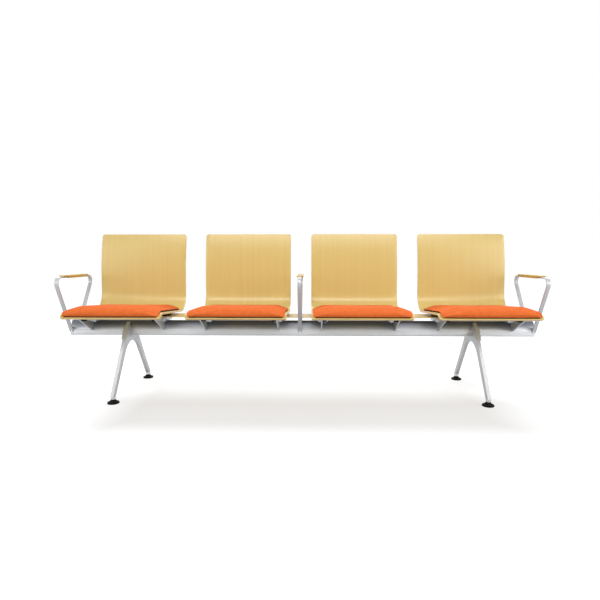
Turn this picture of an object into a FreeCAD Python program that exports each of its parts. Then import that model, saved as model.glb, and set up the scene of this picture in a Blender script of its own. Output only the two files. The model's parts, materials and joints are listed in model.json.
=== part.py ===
import FreeCAD, Part
import math
import os
from FreeCAD import Vector

# Four-place beam seating: moulded plywood shells on an extruded beam with two yoke legs.
# X runs along the bench, +Y points to its back, Z is up from the floor.
# All sizes are in millimetres and degrees.

# Layout
seat_count = 4
seat_pitch = 600.0
overall_height = 836.0

# Beam section: a rounded lower band, a groove on each side, and two slopes up to a narrow top
beam_overhang = 3.0
beam_width = 66.0
beam_bottom_z = 296.0
beam_wall = 5.0
beam_side_wall = 6.0
beam_corner_radius = 12.0
band_height = 30.0
groove_height = 4.0
groove_depth = 3.0
slope_step = 2.0
beam_height = 78.0
beam_top_width = 20.0
end_cap_thickness = 3.0
end_cap_plug_length = 20.0
end_cap_plug_gap = 0.3

# Plywood shell, measured on its front and upper surface
shell_width = 484.0
shell_thickness = 11.0
seat_front_y = -200.0
seat_front_z = 439.8
seat_flat_length = 313.0
seat_tilt = 4.3
front_radius = 60.0
front_drop_angle = 58.5
rear_radius = 90.0
lumbar_lean = 2.1
lumbar_length = 94.0
flare_radius = 940.0
shell_top_corner = 15.0
shell_front_corner = 18.0

# Seat pad: a thin base board and an upholstered cushion
pad_width = 470.0
pad_base_thickness = 4.0
pad_base_inset = 6.0
pad_thickness = 21.0
pad_gap = 0.3
pad_front_wrap = 53.0
pad_rear_wrap = 11.0
pad_corner_radius = 24.0
pad_end_trim = 1.0

# Seat brackets: a web on each side of a seat, with a flange across the beam
web_offset = 189.0
web_thickness = 6.0
web_tip_y = -208.0
web_tip_z = 418.5
web_tip_height = 4.0
web_toe_y = 40.5
web_toe_z = 327.0
flange_inner_offset = 158.0
flange_outer_offset = 205.0
flange_front_y = -50.0
flange_back_y = 60.0
flange_thickness = 21.0

# Rubber mounts between the flanges and the shells, and buffers at the web tips
mount_side_inset = 2.0
mount_end_inset = 5.0
buffer_width = 20.0
buffer_length = 18.0
buffer_front_y = -150.0
buffer_bottom_z = 388.0

# Infill boards between the seats
board_thickness = 5.0
board_front_y = -45.0
board_back_y = 94.0
board_corner_radius = 4.0
board_notch_gap = 1.5

# Fasteners
shell_screw_radius = 3.0
shell_screw_head_radius = 5.0
shell_screw_head_height = 4.0
shell_screw_bite = 8.0
shell_screw_front_y = -35.0
shell_screw_back_y = 40.0
screw_line_offset = 172.0
bolt_radius = 4.0
bolt_head_radius = 6.5
bolt_head_height = 8.0
bolt_hole_gap = 0.5
bracket_nut_width = 12.0
bracket_nut_length = 20.0
nut_thickness = 6.0
leg_bolt_spread = 22.0
leg_bolt_seat_z = 275.0
leg_nut_length = 38.0
leg_nut_width = 16.0

# Legs: two-legged yokes that clasp the beam from below, with a wider jaw and a horn on each side
leg_width = 18.0
jaw_width = 27.0
jaw_bottom_z = 288.0
leg_edge_radius = 3.5
leg_bottom_z = 34.5
leg_end_depth = 33.0
leg_outer_lean = 33.2
leg_inner_lean = 35.6
arch_top_z = 267.0
jaw_top_z = 347.0
jaw_shoulder_z = 330.0
horn_top_z = 368.0
horn_tip_y = 28.0
foot_spread = 485.0

# Levelling feet: a screwed spindle, a ball that it turns in, and a tilting disc
thread_radius = 4.0
thread_gap = 0.05
thread_length = 14.0
thread_hole_extra = 1.5
collar_radius = 12.0
collar_height = 12.0
collar_gap = 0.5
collar_grips = 12
grip_radius = 1.2
neck_radius = 5.0
pin_radius = 3.5
pin_gap = 0.05
ball_radius = 7.0
ball_gap = 0.05
ball_center_z = 11.0
ball_flat_height = 5.5
shoulder_gap = 0.3
pin_end_height = 4.0
disc_radius = 28.0
disc_rim_height = 8.0
disc_rim_bevel = 1.5
hub_radius = 11.0
hub_top_z = 19.0
hub_foot_radius = 20.0
socket_mouth_radius = 6.3
socket_mouth_top_radius = 8.3

# Armrests: a flat bar bent into an open loop that straddles the beam, with a wooden cap
bar_width = 20.0
bar_thickness = 7.0
bar_top_z = 608.0
bar_bend_radius = 35.0
bar_edge_radius = 2.5
front_lean_angle = 26.8
rear_lean_angle = 34.3
bar_foot_z = 316.0
bar_foot_top_z = 342.0
cap_width = 30.0
cap_front_y = -104.0
cap_back_y = 149.0
cap_thickness = 15.0
cap_above_bar = 6.0
cap_side_gap = 0.2
cap_step_y = -68.0
cap_edge_radius = 3.0
cap_end_radius = 4.0
cap_screw_radius = 2.0
cap_screw_head_radius = 3.8
cap_screw_head_height = 2.2
cap_screw_bite = 4.0
cap_screw_front_y = -55.0
cap_screw_back_y = 105.0
foot_screw_radius = 2.5
foot_screw_head_radius = 4.5
foot_screw_head_height = 2.5
foot_screw_z = 321.3
foot_screw_shift = 3.0

# Lengths closer than this count as the same
tolerance = 0.01

# Places that several pieces share
beam_half = beam_width / 2.0
beam_top_z = beam_bottom_z + beam_height
groove_z = beam_bottom_z + band_height
flange_top_z = beam_top_z + flange_thickness
board_top_z = flange_top_z + board_thickness
foot_y = foot_spread / 2.0
seat_line_angle = 90.0 - seat_tilt
beam_length = seat_count * seat_pitch + 2.0 * beam_overhang
seat_centers = [(index - (seat_count - 1) / 2.0) * seat_pitch for index in range(seat_count)]
leg_centers = {"left": seat_centers[0], "right": seat_centers[-1]}
arm_reach = seat_count * seat_pitch / 2.0
arm_centers = {"left": -arm_reach, "center": 0.0, "right": arm_reach}


def write_step(shape, name):
    """Each named node is one STEP file."""
    shape.exportStep("parts/" + name + ".step")
    print(name, len(shape.Solids), round(shape.Volume / 1000.0, 2), "cm3", shape.isValid())


def write_group(solids, name):
    write_step(Part.makeCompound(solids), name)


def along(point, angle, distance):
    """The (y, z) point at a distance from another, in the direction of an angle from +Y."""
    radians = math.radians(angle)
    return (point[0] + distance * math.cos(radians), point[1] + distance * math.sin(radians))


def in_plane(point, x):
    return Vector(x, point[0], point[1])


def line(start, end, x):
    return Part.LineSegment(in_plane(start, x), in_plane(end, x)).toShape()


def arc(start, middle, end, x):
    return Part.Arc(in_plane(start, x), in_plane(middle, x), in_plane(end, x)).toShape()


def prism(edges, x_start, x_end):
    """A closed outline of edges at x_start, drawn out along X to x_end."""
    face = Part.Face(Part.Wire(Part.__sortEdges__(edges)))
    return face.extrude(Vector(x_end - x_start, 0, 0))


def polygon_prism(points, x_start, x_end):
    edges = [line(points[i - 1], points[i], x_start) for i in range(len(points))]
    return prism(edges, x_start, x_end)


def box(x_range, y_range, z_range):
    low = Vector(min(x_range), min(y_range), min(z_range))
    size = [max(pair) - min(pair) for pair in (x_range, y_range, z_range)]
    return Part.makeBox(size[0], size[1], size[2], low)


def rod(radius, bottom, height, direction=Vector(0, 0, 1)):
    return Part.makeCylinder(radius, height, bottom, direction)


def fillet_edges(solid, radius, chosen):
    edges = [edge for edge in solid.Edges if chosen(edge)]
    return solid.makeFillet(radius, edges)


# Beam

slope_foot = (beam_half - slope_step, groove_z + groove_height)
slope_lean = (slope_foot[0] - beam_top_width / 2.0) / (beam_top_z - slope_foot[1])


def slope_y(z):
    """How far the beam's sloped side stands from its middle at a height."""
    return slope_foot[0] - (z - slope_foot[1]) * slope_lean


def mirror(points):
    return [(-y, z) for y, z in points]


def beam_prism(x_start, x_end, half, inset, chain):
    """A section with rounded lower corners, given the points of one side from there up."""
    bottom_z = beam_bottom_z + inset
    corner = beam_corner_radius - inset
    low = (half - corner, bottom_z)
    high = (half, bottom_z + corner)
    middle = along((half - corner, bottom_z + corner), -45.0, corner)
    side = [high] + chain
    other = mirror(side)
    edges = [line((-low[0], low[1]), low, x_start), arc(low, middle, high, x_start)]
    for i in range(len(side) - 1):
        edges.append(line(side[i], side[i + 1], x_start))
        edges.append(line(other[i], other[i + 1], x_start))
    edges.append(line(side[-1], other[-1], x_start))
    edges.append(arc(other[0], (-middle[0], middle[1]), (-low[0], low[1]), x_start))
    return prism(edges, x_start, x_end)


def outer_beam(x_start, x_end):
    chain = [
        (beam_half, groove_z),
        (beam_half - groove_depth, groove_z),
        (beam_half - groove_depth, groove_z + groove_height),
        slope_foot,
        (beam_top_width / 2.0, beam_top_z),
    ]
    return beam_prism(x_start, x_end, beam_half, 0.0, chain)


def inner_beam(x_start, x_end, gap):
    """The cavity, or with a gap the plug that fits it."""
    half = beam_half - beam_side_wall - gap
    wall = beam_wall + gap
    shift = wall * math.hypot(1.0, slope_lean)
    top_z = beam_top_z - wall
    top_y = slope_y(top_z) - shift
    join_z = top_z - (half - top_y) / slope_lean
    return beam_prism(x_start, x_end, half, wall, [(half, join_z), (top_y, top_z)])


beam_end = beam_length / 2.0
capped_end = beam_end + end_cap_thickness
beam_outside = outer_beam(-capped_end, capped_end)
beam = outer_beam(-beam_end, beam_end).cut(inner_beam(-beam_end, beam_end, 0.0))


def bolt(x, y, seat_z, tip_z):
    """A cap bolt with its head against seat_z, and its shank running to tip_z."""
    up = 1.0 if tip_z > seat_z else -1.0
    direction = Vector(0, 0, up)
    shank = rod(bolt_radius, Vector(x, y, seat_z), abs(tip_z - seat_z), direction)
    head = rod(bolt_head_radius, Vector(x, y, seat_z), bolt_head_height, direction * -1.0)
    socket = Part.makeBox(bolt_radius, bolt_radius, bolt_head_height / 2.0)
    socket.translate(Vector(x - bolt_radius / 2.0, y - bolt_radius / 2.0, 0))
    low = seat_z - up * bolt_head_height
    socket.translate(Vector(0, 0, low if up > 0 else low - bolt_head_height / 2.0))
    return shank.fuse(head).cut(socket)


def bolt_hole(x, y, low_z, high_z):
    return rod(bolt_radius + bolt_hole_gap, Vector(x, y, low_z), high_z - low_z)


# The bolts of the brackets come down through the beam's top, those of the legs up through its floor
bracket_bolt_seat_z = flange_top_z - bolt_head_height - bolt_hole_gap
bracket_places = []
for number, center in enumerate(seat_centers, start=1):
    for side_name, side in (("left", -1.0), ("right", 1.0)):
        bracket_places.append((number, side_name, side, center))

bracket_bolts = []
bracket_nuts = []
cavity_top_z = beam_top_z - beam_wall
cavity_floor_z = beam_bottom_z + beam_wall
for number, side_name, side, center in bracket_places:
    x = center + side * screw_line_offset
    nut_bottom_z = cavity_top_z - nut_thickness
    hole = bolt_hole(x, 0.0, nut_bottom_z, bracket_bolt_seat_z)
    beam = beam.cut(hole)
    bracket_bolts.append(bolt(x, 0.0, bracket_bolt_seat_z, nut_bottom_z))
    nut = box(
        (x - bracket_nut_length / 2.0, x + bracket_nut_length / 2.0),
        (-bracket_nut_width / 2.0, bracket_nut_width / 2.0),
        (nut_bottom_z, cavity_top_z),
    )
    bracket_nuts.append(nut.cut(rod(bolt_radius, Vector(x, 0, nut_bottom_z), nut_thickness)))

leg_bolts = []
leg_nuts = []
for x in leg_centers.values():
    nut_top_z = cavity_floor_z + nut_thickness
    nut = box(
        (x - leg_nut_width / 2.0, x + leg_nut_width / 2.0),
        (-leg_nut_length / 2.0, leg_nut_length / 2.0),
        (cavity_floor_z, nut_top_z),
    )
    for y in (-leg_bolt_spread / 2.0, leg_bolt_spread / 2.0):
        beam = beam.cut(bolt_hole(x, y, leg_bolt_seat_z, cavity_floor_z))
        nut = nut.cut(rod(bolt_radius, Vector(x, y, cavity_floor_z), nut_thickness))
        leg_bolts.append(bolt(x, y, leg_bolt_seat_z, nut_top_z))
    leg_nuts.append(nut)


def end_cap(side):
    """A plate over the beam's end, with a plug that fills the mouth of its cavity."""
    end = side * beam_end
    plate = outer_beam(end, end + side * end_cap_thickness)
    plug = inner_beam(end - side * end_cap_plug_length, end, end_cap_plug_gap)
    return plate.fuse(plug)


# Shell and pad, as layers of one curved profile

seat_start = (seat_front_y, seat_front_z)
seat_end = along(seat_start, -seat_tilt, seat_flat_length)
front_center = along(seat_start, seat_line_angle, -front_radius)
rear_center = along(seat_end, seat_line_angle, rear_radius)
lumbar_start = along(rear_center, -lumbar_lean, rear_radius)
lumbar_end = along(lumbar_start, 90.0 - lumbar_lean, lumbar_length)
flare_center = along(lumbar_end, -lumbar_lean, flare_radius)
flare_rise = (overall_height - lumbar_end[1]) / flare_radius
flare_end_lean = math.degrees(math.asin(flare_rise + math.sin(math.radians(lumbar_lean))))


def front_point(angle, offset):
    return along(front_center, angle, front_radius + offset)


def rear_point(angle, offset):
    return along(rear_center, angle, rear_radius - offset)


def flare_point(lean, offset):
    return along(flare_center, 180.0 - lean, flare_radius + offset)


def profile_edges(offset, front_angle, rear_angle, x):
    """One surface of a layer from its front end to its rear end, and that end's point."""
    front_middle = (front_angle + seat_line_angle) / 2.0
    rear_start = -90.0 - seat_tilt
    rear_middle = (rear_start + rear_angle) / 2.0
    bend_top = front_point(seat_line_angle, offset)
    bend_low = rear_point(rear_start, offset)
    rear_tip = rear_point(rear_angle, offset)
    return [
        arc(front_point(front_angle, offset), front_point(front_middle, offset), bend_top, x),
        line(bend_top, bend_low, x),
        arc(bend_low, rear_point(rear_middle, offset), rear_tip, x),
    ], rear_tip


def back_edges(offset, x):
    """One surface of the backrest, from the top of the rear bend to the top edge."""
    lumbar_low = rear_point(-lumbar_lean, offset)
    lumbar_high = flare_point(lumbar_lean, offset)
    flare_middle = flare_point((lumbar_lean + flare_end_lean) / 2.0, offset)
    flare_tip = flare_point(flare_end_lean, offset)
    return [line(lumbar_low, lumbar_high, x), arc(lumbar_high, flare_middle, flare_tip, x)], flare_tip


def layer(low, high, front_angle, rear_angle, width, center, with_back=False):
    """A solid between two offsets from the shell's upper surface, centred on a seat."""
    x = center - width / 2.0
    edges = []
    tips = []
    for offset in (low, high):
        seat_part, tip = profile_edges(offset, front_angle, rear_angle, x)
        edges += seat_part
        if with_back:
            back_part, tip = back_edges(offset, x)
            edges += back_part
        tips.append(tip)
    edges.append(line(front_point(front_angle, low), front_point(front_angle, high), x))
    edges.append(line(tips[0], tips[1], x))
    return prism(edges, x, x + width)


def is_short_corner(edge, thickness):
    """The four edges through a layer's thickness at its corners."""
    ends = [vertex.Point for vertex in edge.Vertexes]
    return (len(ends) == 2 and abs(ends[0].x - ends[1].x) < tolerance
            and abs(edge.Length - thickness) < tolerance)


def upper_surface_z(y, offset):
    """Height of a layer's surface over the flat of the seat."""
    drop = (y - seat_front_y) * math.tan(math.radians(seat_tilt))
    return seat_front_z - drop + offset / math.cos(math.radians(seat_tilt))


def seat_shell(center):
    shell = layer(
        -shell_thickness, 0.0, 90.0 + front_drop_angle, -lumbar_lean,
        shell_width, center, with_back=True,
    )
    shell = fillet_edges(
        shell, shell_top_corner,
        lambda edge: is_short_corner(edge, shell_thickness) and edge.CenterOfMass.z > lumbar_end[1],
    )
    shell = fillet_edges(
        shell, shell_front_corner,
        lambda edge: is_short_corner(edge, shell_thickness) and edge.CenterOfMass.y < seat_front_y,
    )
    for side in (-1.0, 1.0):
        for y in (shell_screw_front_y, shell_screw_back_y):
            low = upper_surface_z(y, -shell_thickness) - shell_screw_bite
            hole = rod(shell_screw_radius, Vector(center + side * screw_line_offset, y, low),
                       2.0 * shell_screw_bite)
            shell = shell.cut(hole)
    return shell


def is_upright(edge, height):
    ends = [vertex.Point for vertex in edge.Vertexes]
    return len(ends) == 2 and abs(abs(ends[0].z - ends[1].z) - height) < tolerance


def rounded_block(x_range, y_range, z_range, radius):
    """A box whose upright edges are rounded."""
    height = max(z_range) - min(z_range)
    return fillet_edges(box(x_range, y_range, z_range), radius, lambda edge: is_upright(edge, height))


def pad_layer(low, high, inset, center):
    """A layer of the pad, with rounded corners in plan."""
    half = pad_width / 2.0 - inset
    solid = layer(
        low, high, seat_line_angle + pad_front_wrap, -90.0 - seat_tilt + pad_rear_wrap,
        shell_width, center,
    )
    bounds = solid.BoundBox
    plan = rounded_block((center - half, center + half),
                         (bounds.YMin + pad_end_trim, bounds.YMax - pad_end_trim),
                         (0.0, overall_height), pad_corner_radius - inset)
    return solid.common(plan)


cushion_low = pad_base_thickness + pad_gap

# Brackets, mounts and buffers

def seat_bracket(side, center):
    """A web that hooks both grooves of the beam, and the flange that the seat stands on."""
    web_x = center + side * web_offset
    outline = [
        (-web_toe_y, web_toe_z),
        (web_tip_y, web_tip_z),
        (web_tip_y + web_tip_height, web_tip_z + web_tip_height),
        (flange_front_y, flange_top_z),
        (flange_back_y, flange_top_z),
        (flange_back_y, beam_top_z),
        (web_toe_y, web_toe_z),
    ]
    web = polygon_prism(outline, web_x - web_thickness / 2.0, web_x + web_thickness / 2.0)
    flange = box(
        (center + side * flange_inner_offset, center + side * flange_outer_offset),
        (flange_front_y, flange_back_y), (beam_top_z, flange_top_z),
    )
    bracket = web.fuse(flange).removeSplitter().cut(beam_outside)
    x = center + side * screw_line_offset
    bracket = bracket.cut(bolt_hole(x, 0.0, beam_top_z, flange_top_z))
    pocket = rod(bolt_head_radius + bolt_hole_gap, Vector(x, 0, bracket_bolt_seat_z), flange_thickness)
    bracket = bracket.cut(pocket)
    for y in (shell_screw_front_y, shell_screw_back_y):
        bracket = bracket.cut(rod(shell_screw_radius, Vector(x, y, beam_top_z), flange_thickness))
    return bracket


def rests_on_board(number, side):
    """Every bracket but the two outermost ones carries the end of an infill board."""
    return not ((number == 1 and side < 0) or (number == seat_count and side > 0))


def shell_mount(number, side, center):
    """A rubber block that fills the wedge between the flange, or its board, and the shell."""
    bottom_z = board_top_z if rests_on_board(number, side) else flange_top_z
    front_y = flange_front_y + mount_end_inset
    back_y = flange_back_y - mount_end_inset
    inner_x = center + side * (flange_inner_offset + mount_side_inset)
    outer_x = center + side * (flange_outer_offset - mount_side_inset)
    points = [
        (front_y, bottom_z),
        (back_y, bottom_z),
        (back_y, upper_surface_z(back_y, -shell_thickness)),
        (front_y, upper_surface_z(front_y, -shell_thickness)),
    ]
    block = polygon_prism(points, inner_x, outer_x)
    for y in (shell_screw_front_y, shell_screw_back_y):
        place = Vector(center + side * screw_line_offset, y, beam_top_z)
        block = block.cut(rod(shell_screw_radius, place, overall_height - beam_top_z))
    return block


def front_buffer(side, center):
    """A rubber block against the inner side of a web's tip, under the front of the shell."""
    outer_x = center + side * (web_offset - web_thickness / 2.0)
    back_y = buffer_front_y + buffer_length
    points = [
        (buffer_front_y, buffer_bottom_z),
        (back_y, buffer_bottom_z),
        (back_y, upper_surface_z(back_y, -shell_thickness)),
        (buffer_front_y, upper_surface_z(buffer_front_y, -shell_thickness)),
    ]
    return polygon_prism(points, outer_x, outer_x - side * buffer_width)


def shell_screw(x, y):
    tip_z = upper_surface_z(y, -shell_thickness) + shell_screw_bite
    shank = rod(shell_screw_radius, Vector(x, y, beam_top_z), tip_z - beam_top_z)
    head = rod(shell_screw_head_radius, Vector(x, y, beam_top_z), shell_screw_head_height,
               Vector(0, 0, -1))
    return shank.fuse(head)


# Armrests

def leg_outer_y(z, lean):
    """How far the outer face of an armrest's leg stands from the beam's middle at a height."""
    return beam_half + bar_thickness + (z - groove_z) * math.tan(math.radians(lean))


def bend_center_y(lean):
    """Where the bend's centre lies, so that the bend meets the leg and the top bar smoothly."""
    center_z = bar_top_z - bar_bend_radius
    radians = math.radians(lean)
    return leg_outer_y(center_z, lean) - bar_bend_radius / math.cos(radians)


def bar_path(inset, front_sign, lean, x):
    """Foot to top bar along one leg of the loop, on a face at an inset from the outside."""
    radians = math.radians(lean)
    shift = inset / math.cos(radians)
    radius = bar_bend_radius - inset
    center = (bend_center_y(lean), bar_top_z - bar_bend_radius)
    foot = (leg_outer_y(bar_foot_z, lean) - shift, bar_foot_z)
    leg_tangent = along(center, -lean, radius)
    middle = along(center, (90.0 - lean) / 2.0, radius)
    top_tangent = along(center, 90.0, radius)
    points = [(front_sign * y, z) for y, z in (foot, leg_tangent, middle, top_tangent)]
    edges = [line(points[0], points[1], x), arc(points[1], points[2], points[3], x)]
    return edges, points[0], points[3]


def is_long_bar_edge(edge):
    """The edges that run along the loop, above its wedge-shaped feet."""
    across = edge.BoundBox.XLength > tolerance
    return not across and edge.CenterOfMass.z > bar_foot_top_z + tolerance


def armrest_frame(x_center):
    """A bent flat bar whose feet wedge onto the beam's slopes and hook its grooves."""
    x = x_center - bar_width / 2.0
    edges = []
    feet = []
    for sign, lean in ((-1.0, front_lean_angle), (1.0, rear_lean_angle)):
        outer, outer_foot, outer_top = bar_path(0.0, sign, lean, x)
        inner, inner_foot, inner_top = bar_path(bar_thickness, sign, lean, x)
        edges += outer + inner
        edges.append(line(outer_foot, inner_foot, x))
        feet.append((outer_top, inner_top))
    edges.append(line(feet[0][0], feet[1][0], x))
    edges.append(line(feet[0][1], feet[1][1], x))
    frame = prism(edges, x, x + bar_width)
    for sign, lean in ((-1.0, front_lean_angle), (1.0, rear_lean_angle)):
        wedge_y = sign * slope_y(bar_foot_top_z)
        wedge = [
            (sign * leg_outer_y(bar_foot_z, lean), bar_foot_z),
            (wedge_y, bar_foot_z),
            (wedge_y, bar_foot_top_z),
            (sign * leg_outer_y(bar_foot_top_z, lean), bar_foot_top_z),
        ]
        frame = frame.fuse(polygon_prism(wedge, x, x + bar_width))
    frame = fillet_edges(frame.removeSplitter(), bar_edge_radius, is_long_bar_edge)
    frame = frame.cut(beam_outside)
    for y in (cap_screw_front_y, cap_screw_back_y):
        frame = frame.cut(rod(cap_screw_radius, Vector(x_center, y, bar_top_z - bar_thickness),
                              bar_thickness))
    for sign in (-1.0, 1.0):
        frame = frame.cut(foot_screw(x_center, sign))
    return frame.removeSplitter()


def foot_screw(x_center, sign):
    """A flat-headed screw from the outside of a foot into the beam's wall."""
    x = x_center - foot_screw_shift * (x_center > 0) + foot_screw_shift * (x_center < 0)
    face_y = leg_outer_y(foot_screw_z, front_lean_angle if sign < 0 else rear_lean_angle)
    inward = Vector(0, -sign, 0)
    start = Vector(x, sign * (face_y + foot_screw_head_height / 2.0), foot_screw_z)
    shank_end = beam_half - beam_side_wall
    shank = rod(foot_screw_radius, start, start.y * sign - shank_end, inward)
    head = rod(foot_screw_head_radius, start, foot_screw_head_height * 1.5, inward)
    return shank.fuse(head)


def armrest_cap(x_center):
    """A wooden rail that the top bar is let into from below, with a thin lip in front."""
    cap_top_z = bar_top_z + cap_above_bar
    cap_bottom_z = cap_top_z - cap_thickness
    half = cap_width / 2.0
    slot_half = bar_width / 2.0 + cap_side_gap
    cap = rounded_block((x_center - half, x_center + half), (cap_front_y, cap_back_y),
                        (cap_bottom_z, cap_top_z), cap_end_radius)
    cap = fillet_edges(
        cap, cap_edge_radius,
        lambda edge: min(vertex.Z for vertex in edge.Vertexes) > cap_top_z - tolerance,
    )
    step = box((x_center - half, x_center + half), (cap_front_y, cap_step_y), (cap_bottom_z, bar_top_z))
    slot = box((x_center - slot_half, x_center + slot_half), (cap_front_y, cap_back_y),
               (cap_bottom_z, bar_top_z))
    cap = cap.cut(step).cut(slot)
    for y in (cap_screw_front_y, cap_screw_back_y):
        cap = cap.cut(rod(cap_screw_radius, Vector(x_center, y, bar_top_z), cap_screw_bite))
    return cap


def cap_screw(x, y):
    seat_z = bar_top_z - bar_thickness
    shank = rod(cap_screw_radius, Vector(x, y, seat_z), bar_thickness + cap_screw_bite)
    head = Part.makeCone(
        cap_screw_head_radius, cap_screw_head_radius * 0.7, cap_screw_head_height,
        Vector(x, y, seat_z), Vector(0, 0, -1),
    )
    return shank.fuse(head)


# Infill boards, the middle one notched for the rear leg of its armrest

def infill_board(x_center):
    half = seat_pitch / 2.0 - flange_inner_offset
    board = rounded_block((x_center - half, x_center + half), (board_front_y, board_back_y),
                          (flange_top_z, board_top_z), board_corner_radius)
    for side in (-1.0, 1.0):
        for y in (shell_screw_front_y, shell_screw_back_y):
            x = x_center + side * (seat_pitch / 2.0 - screw_line_offset)
            board = board.cut(rod(shell_screw_radius, Vector(x, y, flange_top_z), board_thickness))
    if min(abs(x_center - arm_x) for arm_x in arm_centers.values()) < half:
        notch_half = bar_width / 2.0 + board_notch_gap
        bar_depth = bar_thickness / math.cos(math.radians(rear_lean_angle))
        notch_y = leg_outer_y(flange_top_z, rear_lean_angle) - bar_depth - board_notch_gap
        board = board.cut(box((x_center - notch_half, x_center + notch_half),
                              (notch_y, board_back_y), (flange_top_z, board_top_z)))
    return board


# Legs

def leg_profile(x):
    """The yoke's outline: two splayed legs, a round arch between them, and two horns on top."""
    outer_slope = math.tan(math.radians(leg_outer_lean))
    outer_foot = foot_y + leg_end_depth / 2.0
    inner_foot = foot_y - leg_end_depth / 2.0
    shoulder_y = outer_foot - (jaw_shoulder_z - leg_bottom_z) * outer_slope
    inner = math.radians(leg_inner_lean)
    arch_radius = inner_foot * math.cos(inner) - (arch_top_z - leg_bottom_z) * math.sin(inner)
    arch_radius /= 1.0 - math.sin(inner)
    arch_center = (0.0, arch_top_z - arch_radius)
    arch_start = along(arch_center, leg_inner_lean, arch_radius)
    side = [
        arch_start,
        (inner_foot, leg_bottom_z),
        (outer_foot, leg_bottom_z),
        (shoulder_y, jaw_shoulder_z),
        (horn_tip_y, horn_top_z),
    ]
    mirrored = [(-y, z) for y, z in side]
    edges = [line(side[i], side[i + 1], x) for i in range(len(side) - 1)]
    edges.append(line(side[-1], mirrored[-1], x))
    edges += [line(mirrored[i + 1], mirrored[i], x) for i in reversed(range(len(side) - 1))]
    edges.append(arc(mirrored[0], (0.0, arch_top_z), side[0], x))
    return edges


def leg(x_center):
    x = x_center - leg_width / 2.0
    yoke = prism(leg_profile(x), x, x + leg_width)
    yoke = fillet_edges(
        yoke, leg_edge_radius,
        lambda edge: edge.BoundBox.XLength < tolerance
        and (leg_bottom_z + tolerance < edge.CenterOfMass.z < horn_top_z - tolerance),
    )
    jaw_x = x_center - jaw_width / 2.0
    jaw = prism(leg_profile(jaw_x), jaw_x, jaw_x + jaw_width)
    jaw = jaw.common(box((jaw_x, jaw_x + jaw_width), (-foot_y, foot_y), (jaw_bottom_z, jaw_top_z)))
    over_beam = box((jaw_x, jaw_x + jaw_width), (-slope_y(horn_top_z), slope_y(horn_top_z)),
                    (groove_z, overall_height))
    yoke = yoke.fuse(jaw).cut(beam_outside).cut(over_beam)
    for y in (-leg_bolt_spread / 2.0, leg_bolt_spread / 2.0):
        yoke = yoke.cut(bolt_hole(x_center, y, leg_bottom_z, beam_bottom_z))
        depth = leg_bolt_seat_z - leg_bottom_z
        pocket = rod(bolt_head_radius + bolt_hole_gap, Vector(x_center, y, leg_bottom_z), depth)
        yoke = yoke.cut(pocket)
    for y in (-foot_y, foot_y):
        hole = rod(thread_radius + thread_gap, Vector(x_center, y, leg_bottom_z),
                   thread_length + thread_hole_extra)
        yoke = yoke.cut(hole)
    return yoke


# Levelling feet

def spindle(x, y):
    """A threaded stub with a gripped collar, and a pin that turns in the ball."""
    collar_top_z = leg_bottom_z - collar_gap
    collar_bottom_z = collar_top_z - collar_height
    shoulder_z = ball_center_z + ball_flat_height + shoulder_gap
    pin_bottom_z = ball_center_z - pin_end_height
    body = rod(thread_radius, Vector(x, y, collar_top_z), thread_length + collar_gap)
    body = body.fuse(rod(collar_radius, Vector(x, y, collar_bottom_z), collar_height))
    body = body.fuse(rod(neck_radius, Vector(x, y, shoulder_z), collar_bottom_z - shoulder_z))
    body = body.fuse(rod(pin_radius, Vector(x, y, pin_bottom_z), shoulder_z - pin_bottom_z))
    for index in range(collar_grips):
        angle = 2.0 * math.pi * index / collar_grips
        place = Vector(x + collar_radius * math.cos(angle), y + collar_radius * math.sin(angle),
                       collar_bottom_z)
        body = body.cut(rod(grip_radius, place, collar_height))
    return body


def foot_ball(x, y):
    center = Vector(x, y, ball_center_z)
    ball = Part.makeSphere(ball_radius, center)
    top = rod(ball_radius, Vector(x, y, ball_center_z + ball_flat_height), ball_radius)
    bore = rod(pin_radius + pin_gap, Vector(x, y, ball_center_z - ball_radius), 2.0 * ball_radius)
    return ball.cut(top).cut(bore)


def foot_disc(x, y):
    """A round glide with a conical hub, whose socket holds the ball."""
    outline = [
        (0.0, 0.0),
        (disc_radius - disc_rim_bevel, 0.0),
        (disc_radius, disc_rim_bevel),
        (disc_radius, disc_rim_height - disc_rim_bevel),
        (disc_radius - disc_rim_bevel, disc_rim_height),
        (hub_foot_radius, disc_rim_height + disc_rim_bevel),
        (hub_radius, hub_top_z),
        (0.0, hub_top_z),
    ]
    points = [Vector(radius, 0, z) for radius, z in outline]
    wire = Part.makePolygon(points + [points[0]])
    disc = Part.Face(wire).revolve(Vector(0, 0, 0), Vector(0, 0, 1), 360)
    disc.translate(Vector(x, y, 0))
    socket = Part.makeSphere(ball_radius + ball_gap, Vector(x, y, ball_center_z))
    mouth_low_z = ball_center_z + math.sqrt(ball_radius ** 2 - socket_mouth_radius ** 2)
    mouth = Part.makeCone(socket_mouth_radius, socket_mouth_top_radius, hub_top_z - mouth_low_z,
                          Vector(x, y, mouth_low_z))
    return disc.cut(socket).cut(mouth)


# Build every node

os.makedirs("parts", exist_ok=True)

for x in arm_centers.values():
    for sign in (-1.0, 1.0):
        beam = beam.cut(foot_screw(x, sign))
write_step(beam, "beam")
write_step(end_cap(-1.0), "beam_end_cap_left")
write_step(end_cap(1.0), "beam_end_cap_right")
write_group(bracket_bolts, "bracket_bolts")
write_group(bracket_nuts, "bracket_nuts")
write_group(leg_bolts, "leg_bolts")
write_group(leg_nuts, "leg_nut_plates")

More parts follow.
